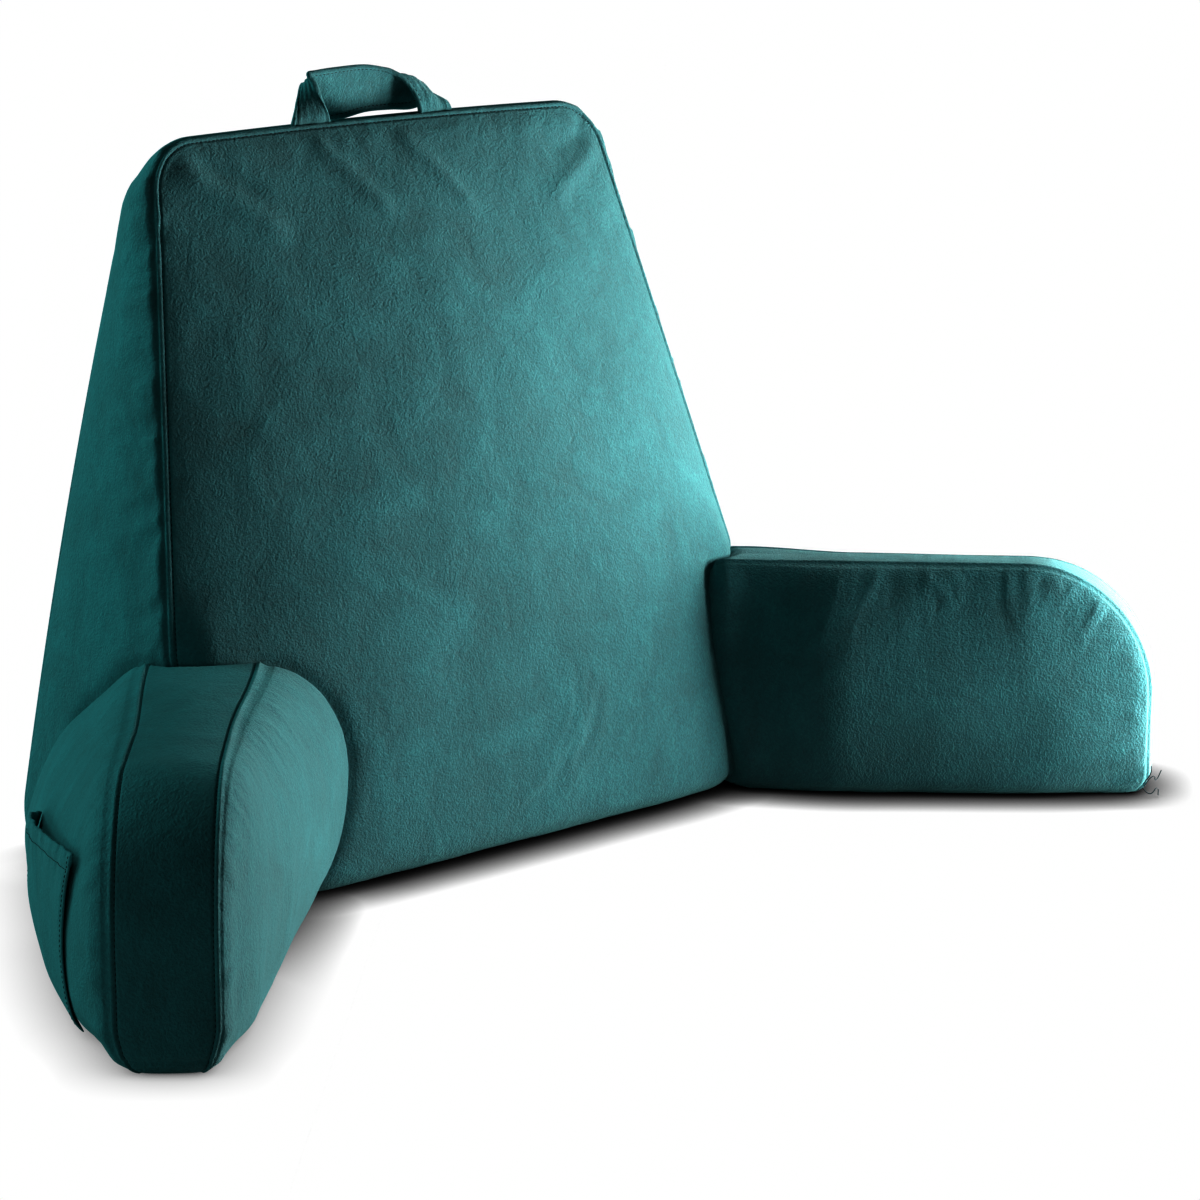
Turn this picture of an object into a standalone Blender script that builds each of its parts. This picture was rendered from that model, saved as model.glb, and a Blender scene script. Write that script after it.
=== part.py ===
"""Reading pillow with arms, in velvet: a wedge-shaped back cushion with two splayed arms,
a carry handle in its top seam and a patch pocket on the outer side of one arm.

Metres, +Z up. The front of the pillow faces -Y and +X is to the right of a viewer in front
of it. The origin is on the floor, under the middle of the back cushion's base.
"""

import math

import bpy
import numpy as np

# Gap between neighbouring pieces, and what is added to it because flat facets cut corners.
PIECE_GAP = 0.0003
FACET_SLACK = 0.0001
# From this share of a panel's margin outwards, a grid line lies on the seam itself.
ON_SEAM = 0.999

# Back cushion: the seam round the front panel lies in a plane that leans back.
BACK_FLOOR_HALF_WIDTH = 0.351
BACK_TOP_HALF_WIDTH = 0.234
BACK_FRONT_HEIGHT = 0.607
BACK_REAR_HEIGHT = 0.582
BACK_FRONT_FLOOR_Y = -0.128
BACK_FRONT_LEAN = 0.268
BACK_REAR_FLOOR_Y = 0.126
BACK_REAR_HOLLOW = 0.134
BACK_TOP_ARCH = 0.003
BACK_CORNER_RADIUS = 0.037
BACK_FRONT_CROWN = 0.040
BACK_REAR_CROWN = 0.018
BACK_GUSSET_CROWN = 0.009
BACK_TOP_GUSSET_CROWN = 0.004
BACK_REAR_NARROWING = 0.012
BACK_CROWN_RUN = 0.150
BACK_BELLY_HEIGHT = 0.120
BACK_BELLY_FALL = 0.128
BACK_FRONT_ROLL_UNDER = 0.024
BACK_REAR_ROLL_UNDER = 0.055
BACK_SIDE_ROLL_UNDER = 0.012

# Arms: length, height and width are those of the seams along the band.
ARM_SPLAY = math.radians(40.6)
ARM_ROOT_X = 0.296
ARM_ROOT_Y = -0.0925
ARM_LENGTH = 0.375
ARM_ROOT_HEIGHT = 0.200
ARM_RISE = 0.012
ARM_END_RADIUS = 0.112
BAND_HALF_WIDTH = 0.039
BAND_CROWN = 0.006
ARM_CROWN_RUN = 0.095
ARM_INNER_CROWN_AT_ROOT = 0.075
ARM_INNER_CROWN_TAPER = 0.155
ARM_OUTER_CROWN = 0.030
ARM_OUTER_CROWN_MIDWAY = 0.010
ARM_OUTER_FLARE = 0.198
ARM_BELLY_HEIGHT = 0.100
ARM_BELLY_FALL = 0.116
ARM_ROLL_UNDER = 0.006
ARM_INNER_DEPTH_IN_BACK = 0.075
ARM_OUTER_DEPTH_IN_BACK = 0.128

# Topstitched seams: a raised edge and the groove that its stitches pull in.
WELT_WIDTH = 0.007
WELT_RISE = 0.0020
STITCH_GROOVE = 0.0012
GROOVE_WIDTH = 0.003

# Handle: a sewn strap.
STRAP_THICKNESS = 0.004

# Side pocket, placed by distance along the arm and height on its outer panel.
POCKET_THICKNESS = 0.0024
POCKET_SEAT = 0.0006
POCKET_REAR = 0.085
POCKET_FRONT = 0.262
POCKET_FOOT = 0.008
POCKET_REAR_MOUTH = 0.104
POCKET_FRONT_MOUTH = 0.127
POCKET_GAPE = 0.026
# The gape rises from the side seams along the mouth, and from the foot up to the mouth.
POCKET_GAPE_ALONG = 0.8
POCKET_GAPE_UP = 2.2
POCKET_STEPS_ALONG = 14
POCKET_STEPS_UP = 9
# Half the distance over which the panel's slope under the pocket is measured.
POCKET_PROBE = 0.004


def elliptic(share):
    """Height of a stuffed panel, 0 at its seam and 1 where its crown is full."""
    share = min(max(share, 0.0), 1.0)
    return math.sqrt(1.0 - (1.0 - share) ** 2)


def soft(share, power=0.75):
    """A gentler rise from the seam than elliptic's."""
    share = min(max(share, 0.0), 1.0)
    return (1.0 - (1.0 - share) ** 2) ** power


def belly(height, top, fall):
    """How much of a panel's crown is left below its fullest height."""
    below = max(top - height, 0.0)
    return math.sqrt(max(1.0 - (below / fall) ** 2, 0.0))


def roll_under(height, radius):
    """How far a rounded bottom edge draws in at this height."""
    if height >= radius:
        return 0.0
    return radius - math.sqrt(radius**2 - (radius - height) ** 2)


def welt(distance):
    """Rise of a topstitched seam at this distance from it."""
    if distance >= WELT_WIDTH + GROOVE_WIDTH:
        return 0.0
    if distance >= WELT_WIDTH:
        return -STITCH_GROOVE * (1.0 - (distance - WELT_WIDTH) / GROOVE_WIDTH)
    share = distance / WELT_WIDTH
    return WELT_RISE * math.sin(math.pi * share) - STITCH_GROOVE * share**4


def round_corner(along, up):
    """Moves a point of a square corner, each side 0 to 1, into a quarter disc."""
    reach = math.hypot(along, up)
    if along <= 0.0 or up <= 0.0:
        return along, up
    scale = max(along, up) / reach
    return along * scale, up * scale


def box_surface(counts, place):
    """Vertices and outward faces of a box's six sides, divided by a grid.

    counts are the grid's steps along its three ways. place gives the position of a grid
    point, which neighbouring sides share, so the surface is closed.
    """
    across, deep, high = counts
    index = {}
    points = []
    faces = []

    def vertex(i, j, k):
        if (i, j, k) not in index:
            index[i, j, k] = len(points)
            points.append(place(i, j, k))
        return index[i, j, k]

    def side(corner, first, second, first_count, second_count):
        corner, first, second = map(np.array, (corner, first, second))
        for m in range(first_count):
            for n in range(second_count):
                start = corner + first * m + second * n
                ring = (start, start + first, start + first + second, start + second)
                faces.append([vertex(*map(int, grid)) for grid in ring])

    way_x, way_y, way_z = (1, 0, 0), (0, 1, 0), (0, 0, 1)
    side((0, 0, 0), way_x, way_z, across, high)
    side((0, deep, 0), way_z, way_x, high, across)
    side((0, 0, 0), way_z, way_y, high, deep)
    side((across, 0, 0), way_y, way_z, deep, high)
    side((0, 0, 0), way_y, way_x, deep, across)
    side((0, 0, high), way_x, way_y, across, deep)
    return points, faces


def margin_lines(radius, distances):
    """Grid lines in the margin of a panel, as (share, margin) pairs, seam last."""
    return [(1.0, radius - distance) for distance in sorted(distances, reverse=True)]


def new_object(name, points, faces, material):
    mesh = bpy.data.meshes.new(name)
    mesh.from_pydata([tuple(point) for point in points], [], faces)
    mesh.materials.append(material)
    mesh.validate()
    mesh.shade_smooth()
    obj = bpy.data.objects.new(name, mesh)
    bpy.context.scene.collection.objects.link(obj)
    return obj


def velvet():
    material = bpy.data.materials.new("teal_velvet")
    material.use_nodes = True
    shader = material.node_tree.nodes["Principled BSDF"]
    shader.inputs["Base Color"].default_value = (0.012, 0.085, 0.095, 1.0)
    shader.inputs["Roughness"].default_value = 0.85
    shader.inputs["Metallic"].default_value = 0.0
    return material


# ---- Back cushion ----

# Grid lines: distances in from the seam, heights near the floor, even steps for the rest.
BACK_SEAM_DISTANCES = (0.0, 0.002, 0.005, 0.007, 0.010, 0.020)
BACK_LOW_HEIGHTS = (0.0, 0.004, 0.010, 0.020, 0.036, 0.060)
BACK_STEPS_ACROSS = 12
BACK_STEPS_UP = 10
BACK_DEPTH_SHARES = (0.0, 0.10, 0.28, 0.50, 0.72, 0.90, 1.0)


def back_grid():
    """The back cushion's grid lines: across, up and deep."""
    edge = margin_lines(BACK_CORNER_RADIUS, BACK_SEAM_DISTANCES)
    steps = BACK_STEPS_ACROSS
    inner = [(2.0 * n / steps - 1.0, 0.0) for n in range(steps + 1)]
    across = [(-1.0, -margin) for _, margin in reversed(edge)] + inner + edge
    height = BACK_FRONT_HEIGHT - BACK_CORNER_RADIUS
    up = [(z / height, 0.0) for z in BACK_LOW_HEIGHTS]
    first = BACK_LOW_HEIGHTS[-1] / height
    for n in range(1, BACK_STEPS_UP + 1):
        up.append((first + (1.0 - first) * n / BACK_STEPS_UP, 0.0))
    up += edge
    return across, up, BACK_DEPTH_SHARES


def back_half_width(height):
    share = height / BACK_FRONT_HEIGHT
    return BACK_FLOOR_HALF_WIDTH + (BACK_TOP_HALF_WIDTH - BACK_FLOOR_HALF_WIDTH) * share


def back_panel_point(line_x, line_z, top):
    """Where two grid lines cross on the front or rear panel, before its crown.

    Gives x, z, the outline's outward way there, and the distances to the side and top seams.
    """
    share_x, margin_x = line_x
    share_z, margin_z = line_z
    radius = BACK_CORNER_RADIUS
    side = math.copysign(1.0, share_x) if share_x else 1.0
    along, up = round_corner(abs(margin_x) / radius, margin_z / radius)
    z = share_z * (top - radius) + up * radius
    half = back_half_width(z)
    x = share_x * (half - radius) + side * along * radius
    z -= BACK_TOP_ARCH * (x / BACK_TOP_HALF_WIDTH) ** 2 * share_z**4
    way = np.array([side * along, 0.0, up])
    length = np.linalg.norm(way)
    way = way / length if length > 0.0 else np.zeros(3)
    to_side = (1.0 - abs(share_x)) * (half - radius) + radius - abs(margin_x)
    to_top = (1.0 - share_z) * (top - radius) + radius - margin_z
    return x, z, way, to_side, to_top


def back_point(line_x, line_z, depth):
    """A point of the back cushion's surface, 0 deep on its front panel and 1 on its rear."""
    x_front, z_front, way, to_side, to_top = back_panel_point(line_x, line_z, BACK_FRONT_HEIGHT)
    x_rear, z_rear, _, _, _ = back_panel_point(line_x, line_z, BACK_REAR_HEIGHT)
    front = np.array([x_front, BACK_FRONT_FLOOR_Y + BACK_FRONT_LEAN * z_front, z_front])
    x_rear *= 1.0 - BACK_REAR_NARROWING / BACK_TOP_HALF_WIDTH
    rear = np.array([x_rear, BACK_REAR_FLOOR_Y - BACK_REAR_HOLLOW * z_rear**2, z_rear])
    fullness = soft(to_side / BACK_CROWN_RUN) * soft(to_top / BACK_CROWN_RUN)
    fullness *= belly(z_front, BACK_BELLY_HEIGHT, BACK_BELLY_FALL)
    ridge = welt(min(to_side, to_top))
    lean = BACK_FRONT_LEAN * min(z_front / BACK_BELLY_HEIGHT, 1.0)
    front_way = np.array([0.0, -1.0, lean]) / math.hypot(1.0, lean)
    front += front_way * (BACK_FRONT_CROWN * fullness + ridge)
    rear += np.array([0.0, BACK_REAR_CROWN * fullness + ridge, 0.0])
    point = front * (1.0 - depth) + rear * depth
    bulge = (4.0 * depth * (1.0 - depth)) ** 0.75
    at_edge = max(abs(line_x[1]), line_z[1]) / BACK_CORNER_RADIUS
    if at_edge > ON_SEAM:
        crown = BACK_TOP_GUSSET_CROWN + (BACK_GUSSET_CROWN - BACK_TOP_GUSSET_CROWN) * way[0] ** 2
        point += way * crown * bulge
    elif line_z[0] == 0.0:
        point[0] += BACK_GUSSET_CROWN * bulge * x_front / back_half_width(0.0)
    return rolled_back(point, depth)


def rolled_back(point, depth):
    """Draws the back cushion's bottom edges in towards its base."""
    x, y, z = point
    height = max(z, 0.0)
    half_depth = (BACK_REAR_FLOOR_Y - BACK_FRONT_FLOOR_Y) / 2.0
    middle = (BACK_REAR_FLOOR_Y + BACK_FRONT_FLOOR_Y) / 2.0
    radius = BACK_FRONT_ROLL_UNDER * (1.0 - depth) + BACK_REAR_ROLL_UNDER * depth
    y = middle + (y - middle) * (1.0 - roll_under(height, radius) / half_depth)
    x *= 1.0 - roll_under(height, BACK_SIDE_ROLL_UNDER) / BACK_FLOOR_HALF_WIDTH
    return np.array([x, y, z])


def back_surface():
    across, up, deep = back_grid()
    counts = (len(across) - 1, len(deep) - 1, len(up) - 1)

    def place(i, j, k):
        return back_point(across[i], up[k], deep[j])

    return box_surface(counts, place)


def inflated(name, source, by):
    """A hidden copy of a solid, grown by a hair, that its neighbours are cut with."""
    copy = source.copy()
    copy.data = source.data.copy()
    copy.name = name
    for vertex in copy.data.vertices:
        vertex.co += vertex.normal * by
    copy.hide_render = True
    copy.display_type = "WIRE"
    bpy.context.scene.collection.objects.link(copy)
    return copy


def cut_with(obj, cutter):
    modifier = obj.modifiers.new("clear_of_" + cutter.name, "BOOLEAN")
    modifier.operation = "DIFFERENCE"
    modifier.solver = "MANIFOLD"
    modifier.object = cutter


# ---- Arms ----

# Grid lines: distances in from a seam, heights near the floor, and shares or offsets for
# the rest.
ARM_SEAM_DISTANCES = (0.0, 0.002, 0.006, 0.014, 0.028, 0.048, 0.072)
ARM_LOW_HEIGHTS = (0.0, 0.003, 0.008, 0.016, 0.032, 0.055)
ARM_HIGH_SHARES = (0.78, 1.0)
ARM_STEPS_ALONG = 10
BAND_SEAM_DISTANCES = (0.0, 0.002, 0.005, 0.007, 0.010)
BAND_MIDDLE_OFFSETS = (-0.014, 0.0, 0.014)


def arm_grid():
    """The arm's grid lines: along, up and across the band."""
    edge = margin_lines(ARM_END_RADIUS, ARM_SEAM_DISTANCES)
    along = [(n / ARM_STEPS_ALONG, 0.0) for n in range(ARM_STEPS_ALONG + 1)] + edge
    height = ARM_ROOT_HEIGHT - ARM_END_RADIUS
    up = [(z / height, 0.0) for z in ARM_LOW_HEIGHTS]
    up += [(share, 0.0) for share in ARM_HIGH_SHARES] + edge
    seam = [BAND_HALF_WIDTH - distance for distance in BAND_SEAM_DISTANCES]
    across = sorted([-offset for offset in seam] + list(BAND_MIDDLE_OFFSETS) + seam)
    return along, up, across


def arm_point(line_s, line_z, offset):
    """A point of the arm's surface in the arm's own way: along, across (outwards), up."""
    share_s, margin_s = line_s
    share_z, margin_z = line_z
    radius = ARM_END_RADIUS
    outer = offset > 0.0
    width = abs(offset) / BAND_HALF_WIDTH
    depth_in_back = ARM_OUTER_DEPTH_IN_BACK if outer else ARM_INNER_DEPTH_IN_BACK
    start = -(ARM_INNER_DEPTH_IN_BACK * (1.0 - width) + depth_in_back * width)
    along, up = round_corner(margin_s / radius, margin_z / radius)
    s = start + share_s * (ARM_LENGTH - radius - start) + along * radius
    top = ARM_ROOT_HEIGHT + ARM_RISE * min(max(s, 0.0), ARM_LENGTH - radius)
    z = share_z * (top - radius) + up * radius
    to_seam = radius - max(margin_s, margin_z)
    full = elliptic(to_seam / ARM_CROWN_RUN)
    low = belly(z, ARM_BELLY_HEIGHT, ARM_BELLY_FALL)
    if outer:
        flare = ARM_OUTER_FLARE * (ARM_LENGTH - s) * (1.0 - z / top)
        midway = math.sin(math.pi * (s - start) / (ARM_LENGTH - start))
        crown = full * (flare + (ARM_OUTER_CROWN + ARM_OUTER_CROWN_MIDWAY * midway) * low)
    else:
        crown = full * low * (ARM_INNER_CROWN_AT_ROOT - ARM_INNER_CROWN_TAPER * s)
    across = offset * (1.0 + crown / BAND_HALF_WIDTH)
    if max(margin_s, margin_z) / radius > ON_SEAM:
        length = math.hypot(along, up)
        to_edge = BAND_HALF_WIDTH - abs(offset)
        rise = BAND_CROWN * (1.0 - width**2) + welt(to_edge)
        s += rise * along / length
        z += rise * up / length
    draw = roll_under(max(z, 0.0), ARM_ROLL_UNDER)
    across *= 1.0 - draw / (BAND_HALF_WIDTH + crown)
    s -= draw * min(max(s / ARM_LENGTH, 0.0), 1.0)
    return s, across, z


def arm_world(side, s, across, z):
    """From the arm's own way to the world. side is -1 for the left arm and 1 for the right."""
    along = (math.sin(ARM_SPLAY), -math.cos(ARM_SPLAY))
    x = ARM_ROOT_X + s * along[0] - across * along[1]
    y = ARM_ROOT_Y + s * along[1] + across * along[0]
    return np.array([side * x, y, z])


def arm_surface(side):
    along, up, across = arm_grid()
    counts = (len(along) - 1, len(across) - 1, len(up) - 1)

    def place(i, j, k):
        return arm_world(side, *arm_point(along[i], up[k], across[j]))

    points, faces = box_surface(counts, place)
    if side < 0:
        faces = [face[::-1] for face in faces]
    return points, faces


# ---- Handle ----

# One row for each place along the strap: the hem in front, the hem behind, and how far the
# strap's middle stands above the line between them.
HANDLE_COLUMNS = ("front_x", "front_y", "front_z", "rear_x", "rear_y", "rear_z", "bow")
HANDLE_ROWS = (
    (-0.054, 0.036, 0.592, -0.102, 0.036, 0.592, 0.000),
    (-0.056, 0.036, 0.610, -0.096, 0.037, 0.610, 0.000),
    (-0.060, 0.037, 0.624, -0.084, 0.049, 0.624, 0.002),
    (-0.067, 0.039, 0.638, -0.066, 0.066, 0.638, 0.003),
    (-0.073, 0.042, 0.648, -0.046, 0.076, 0.640, 0.003),
    (-0.062, 0.043, 0.650, -0.033, 0.070, 0.618, 0.003),
    (-0.040, 0.044, 0.651, -0.021, 0.060, 0.607, 0.002),
    (-0.011, 0.045, 0.651, 0.005, 0.058, 0.610, 0.002),
    (0.010, 0.044, 0.647, 0.028, 0.060, 0.610, 0.004),
    (0.021, 0.042, 0.641, 0.050, 0.062, 0.609, 0.009),
    (0.029, 0.040, 0.634, 0.064, 0.056, 0.611, 0.012),
    (0.036, 0.038, 0.625, 0.071, 0.047, 0.613, 0.008),
    (0.040, 0.036, 0.613, 0.078, 0.039, 0.610, 0.003),
    (0.042, 0.036, 0.592, 0.082, 0.036, 0.592, 0.000),
)
HANDLE_STEPS_PER_ROW = 2
HANDLE_STEPS_ACROSS = 4


def smooth_row(rows, place):
    """A row between the table's rows, on a smooth curve through them."""
    first = min(int(place), len(rows) - 2)
    part = place - first
    near = [np.array(rows[min(max(first + n, 0), len(rows) - 1)]) for n in (-1, 0, 1, 2)]
    slope_0 = (near[2] - near[0]) / 2.0
    slope_1 = (near[3] - near[1]) / 2.0
    cubic = 2.0 * part**3 - 3.0 * part**2 + 1.0
    return (
        cubic * near[1]
        + (part**3 - 2.0 * part**2 + part) * slope_0
        + (1.0 - cubic) * near[2]
        + (part**3 - part**2) * slope_1
    )


def thick_sheet(grid, thickness):
    """A closed sheet on a grid of points, with half its thickness on each side."""
    grid = np.array(grid)
    along = np.gradient(grid, axis=0)
    across = np.gradient(grid, axis=1)
    normal = np.cross(across, along)
    normal /= np.linalg.norm(normal, axis=2, keepdims=True)
    rows, columns = grid.shape[:2]
    sides = (grid - normal * thickness / 2.0, grid + normal * thickness / 2.0)

    def place(i, j, k):
        return sides[j][i, k]

    points, faces = box_surface((rows - 1, 1, columns - 1), place)
    return points, faces


def handle_surface():
    steps = (len(HANDLE_ROWS) - 1) * HANDLE_STEPS_PER_ROW
    grid = []
    for n in range(steps + 1):
        row = smooth_row(HANDLE_ROWS, n / HANDLE_STEPS_PER_ROW)
        row = dict(zip(HANDLE_COLUMNS, row))
        front = np.array([row["front_x"], row["front_y"], row["front_z"]])
        rear = np.array([row["rear_x"], row["rear_y"], row["rear_z"]])
        ruling = []
        for m in range(HANDLE_STEPS_ACROSS + 1):
            share = m / HANDLE_STEPS_ACROSS
            point = front * (1.0 - share) + rear * share
            point[2] += row["bow"] * 4.0 * share * (1.0 - share)
            ruling.append(point)
        grid.append(ruling)
    return thick_sheet(grid, STRAP_THICKNESS)


# ---- Side pocket ----


def outer_panel_point(s, z):
    """A point of the arm's outer panel, at a distance along the arm and a height."""
    radius = ARM_END_RADIUS
    start = -ARM_OUTER_DEPTH_IN_BACK
    top = ARM_ROOT_HEIGHT + ARM_RISE * min(max(s, 0.0), ARM_LENGTH - radius)
    if z > top - radius:
        line_z = (1.0, z - top + radius)
    else:
        line_z = (z / (top - radius), 0.0)
    line_s = ((s - start) / (ARM_LENGTH - radius - start), 0.0)
    return np.array(arm_point(line_s, line_z, BAND_HALF_WIDTH))


def outer_panel_frame(s, z):
    """The outer panel's point and outward normal there, in the arm's own way."""
    step = POCKET_PROBE
    point = outer_panel_point(s, z)
    ahead = outer_panel_point(s + step, z) - outer_panel_point(s - step, z)
    above = outer_panel_point(s, z + step) - outer_panel_point(s, z - step)
    normal = np.cross(above, ahead)
    return point, normal / np.linalg.norm(normal)


def pocket_surface():
    """The pocket's sheet, sewn down at its sides and foot, with its mouth standing open."""
    grid = []
    for m in range(POCKET_STEPS_ALONG + 1):
        along = m / POCKET_STEPS_ALONG
        s = POCKET_REAR + (POCKET_FRONT - POCKET_REAR) * along
        mouth = POCKET_REAR_MOUTH + (POCKET_FRONT_MOUTH - POCKET_REAR_MOUTH) * along
        column = []
        for n in range(POCKET_STEPS_UP + 1):
            share = n / POCKET_STEPS_UP
            point, normal = outer_panel_frame(s, POCKET_FOOT + (mouth - POCKET_FOOT) * share)
            gape = POCKET_GAPE * max(math.sin(math.pi * along), 0.0) ** POCKET_GAPE_ALONG
            lift = POCKET_SEAT + POCKET_THICKNESS / 2.0 + gape * share**POCKET_GAPE_UP
            column.append(arm_world(-1, *(point + normal * lift)))
        grid.append(column)
    return thick_sheet(grid, POCKET_THICKNESS)


# ---- Building ----


def clear_scene():
    for obj in list(bpy.data.objects):
        bpy.data.objects.remove(obj, do_unlink=True)


def build():
    clear_scene()
    cloth = velvet()
    back = new_object("back_cushion", *back_surface(), cloth)
    clearance = inflated("back_clearance", back, PIECE_GAP + FACET_SLACK)
    for name, side in (("arm_left", -1), ("arm_right", 1)):
        arm = new_object(name, *arm_surface(side), cloth)
        cut_with(arm, clearance)
        if side < 0:
            arm_clearance = inflated("arm_clearance", arm, PIECE_GAP + FACET_SLACK)
    handle = new_object("handle", *handle_surface(), cloth)
    cut_with(handle, clearance)
    pocket = new_object("side_pocket", *pocket_surface(), cloth)
    cut_with(pocket, arm_clearance)


build()
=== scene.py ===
"""Looks of the reading pillow with arms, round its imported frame.

Metres, +Z up. The pillow's front faces -Y, +X is to the right of a viewer in front of it,
and the origin is on the floor under the middle of the back cushion's base.
"""

import math

import bpy
import numpy as np
from mathutils import Euler, Matrix, Vector, noise
from mathutils.bvhtree import BVHTree


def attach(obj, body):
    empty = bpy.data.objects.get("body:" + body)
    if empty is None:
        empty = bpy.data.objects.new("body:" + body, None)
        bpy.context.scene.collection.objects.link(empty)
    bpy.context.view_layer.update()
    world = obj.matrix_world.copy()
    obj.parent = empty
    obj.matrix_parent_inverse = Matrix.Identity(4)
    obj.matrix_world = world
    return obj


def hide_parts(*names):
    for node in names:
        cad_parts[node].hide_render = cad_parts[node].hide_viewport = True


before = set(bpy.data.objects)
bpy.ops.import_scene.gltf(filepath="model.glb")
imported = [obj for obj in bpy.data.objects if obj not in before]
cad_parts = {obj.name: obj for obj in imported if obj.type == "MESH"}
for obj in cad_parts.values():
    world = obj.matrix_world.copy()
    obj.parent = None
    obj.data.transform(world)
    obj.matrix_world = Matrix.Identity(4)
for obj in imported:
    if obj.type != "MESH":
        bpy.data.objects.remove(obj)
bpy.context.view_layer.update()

# ---- Sizes ----
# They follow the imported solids, apart from the front's crown, the arms' bands, the left arm's
# length and the pocket, which are nearer to the photo here.

BACK_FLOOR_HALF_WIDTH = 0.351
BACK_TOP_HALF_WIDTH = 0.234
BACK_FRONT_HEIGHT = 0.607
BACK_REAR_HEIGHT = 0.582
BACK_FRONT_FLOOR_Y = -0.128
BACK_FRONT_LEAN = 0.268
BACK_REAR_FLOOR_Y = 0.126
BACK_REAR_HOLLOW = 0.134
BACK_TOP_ARCH = 0.003
BACK_CORNER_RADIUS = 0.037
BACK_FRONT_CROWN = 0.05
BACK_REAR_CROWN = 0.018
BACK_GUSSET_CROWN = 0.009
BACK_TOP_GUSSET_CROWN = 0.001
BACK_LOW_SIDES_FULLER = 0.06
BACK_REAR_NARROWING = 0.012
BACK_FRONT_CROWN_RUN = 0.3
BACK_REAR_CROWN_RUN = 0.15
BACK_LEFT_SEAM_OUT = 0.005
BACK_BELLY_HEIGHT = 0.12
BACK_BELLY_FALL = 0.128
BACK_FRONT_ROLL_UNDER = 0.024
BACK_REAR_ROLL_UNDER = 0.055
BACK_SIDE_ROLL_UNDER = 0.012

ARM_SPLAY = math.radians(40.6)
ARM_ROOT_X = 0.296
ARM_ROOT_Y = -0.0925
ARM_LENGTH = 0.375
ARM_LEFT_LONGER = 0.023
ARM_ROOT_HEIGHT = 0.2
ARM_RISE = 0.012
ARM_END_RADIUS = 0.112
BAND_HALF_WIDTH = 0.039
BAND_WIDE_TO = 0.21
BAND_CROWN = 0.003
# How the band differs on the two arms: wider at its root, its inner seam higher, its outer
# seam lower.
BAND_SHAPES = {-1: (0.0085, 0.0012, 0.002), 1: (0.0, 0.0055, 0.0045)}
BAND_DROPS_FROM = 0.13
ARM_CROWN_RUN = 0.095
ARM_INNER_CROWN_AT_ROOT = 0.075
ARM_INNER_CROWN_TAPER = 0.155
ARM_RIGHT_PULLED_IN = 0.044
ARM_RIGHT_PULLED_TO = 0.115
ARM_OUTER_CROWN = 0.03
ARM_OUTER_CROWN_MIDWAY = 0.01
ARM_OUTER_FLARE = 0.198
ARM_BELLY_HEIGHT = 0.1
ARM_BELLY_FALL = 0.116
ARM_ROLL_UNDER = 0.014
ARM_OUTER_ROLL_UNDER = 0.02
ARM_TIP_ROLL_UNDER = 0.02
BAND_NARROWER_AT_FOOT = 0.2
BAND_FOOT_HEIGHT = 0.04
BAND_CROSS_SEAM_HEIGHT = 0.0135
ARM_OUTER_TIP_SLIMMER = 0.007
ARM_OUTER_ROOT_TUCK = 0.026
ARM_INNER_DEPTH_IN_BACK = 0.075
ARM_OUTER_DEPTH_IN_BACK = 0.128

# Topstitched seam: the padded edge beside the seam, its stitches' groove, the seam's own slit.
SEAM_EDGE_WIDTH = 0.0038
SEAM_EDGE_RISE = 0.0007
SEAM_RIDGE_RISE = 0.0006
SEAM_RIDGE_WIDTH = 0.0011
SEAM_GROOVE_DEPTH = 0.0014
SEAM_GROOVE_WIDTH = 0.0009
SEAM_SLIT_DEPTH = 0.0009
SEAM_SLIT_WIDTH = 0.001
SEAM_SLIT_AT = 0.0012
# The top seam's edge stands up less than the sides'.
TOP_SEAM_SHARE = 0.6

# Grid lines: the distances in from a seam, the heights near the floor, the shares of the way
# from the front seam to the rear one, and the even spacing between them.
NEAR_SEAM = (
    0.0, 0.0008, 0.0016, 0.0024, 0.0031, 0.0038, 0.0044, 0.005, 0.0057, 0.0068, 0.0085, 0.011,
)
BACK_LOW_HEIGHTS = (0.0, 0.0025, 0.005, 0.008, 0.0115, 0.0155)
BACK_LOW_TOP = 0.02
ARM_LOW_HEIGHTS = (0.0, 0.0015, 0.003, 0.005, 0.007, 0.009, 0.011, 0.0125, 0.014)
ARM_LOW_TOP = 0.016
GUSSET_SHARES = (0.0, 0.004, 0.009, 0.014, 0.021, 0.031, 0.044, 0.06, 0.078)
GUSSET_MIDDLE_FROM = 0.098
GUSSET_MIDDLE_SPACING = 0.0221
BACK_SPACING = 0.004
BACK_LEAST_HALF_WIDTH = 0.29
ARM_SPACING = 0.0034
BAND_MIDDLE_HALF = 0.009
BAND_SPACING = 0.0045
ON_SEAM = 0.999
BELLY_CREASES_X = -0.05
BELLY_CREASES_Z = 0.145
BELLY_CREASES_REACH = 0.1
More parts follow.
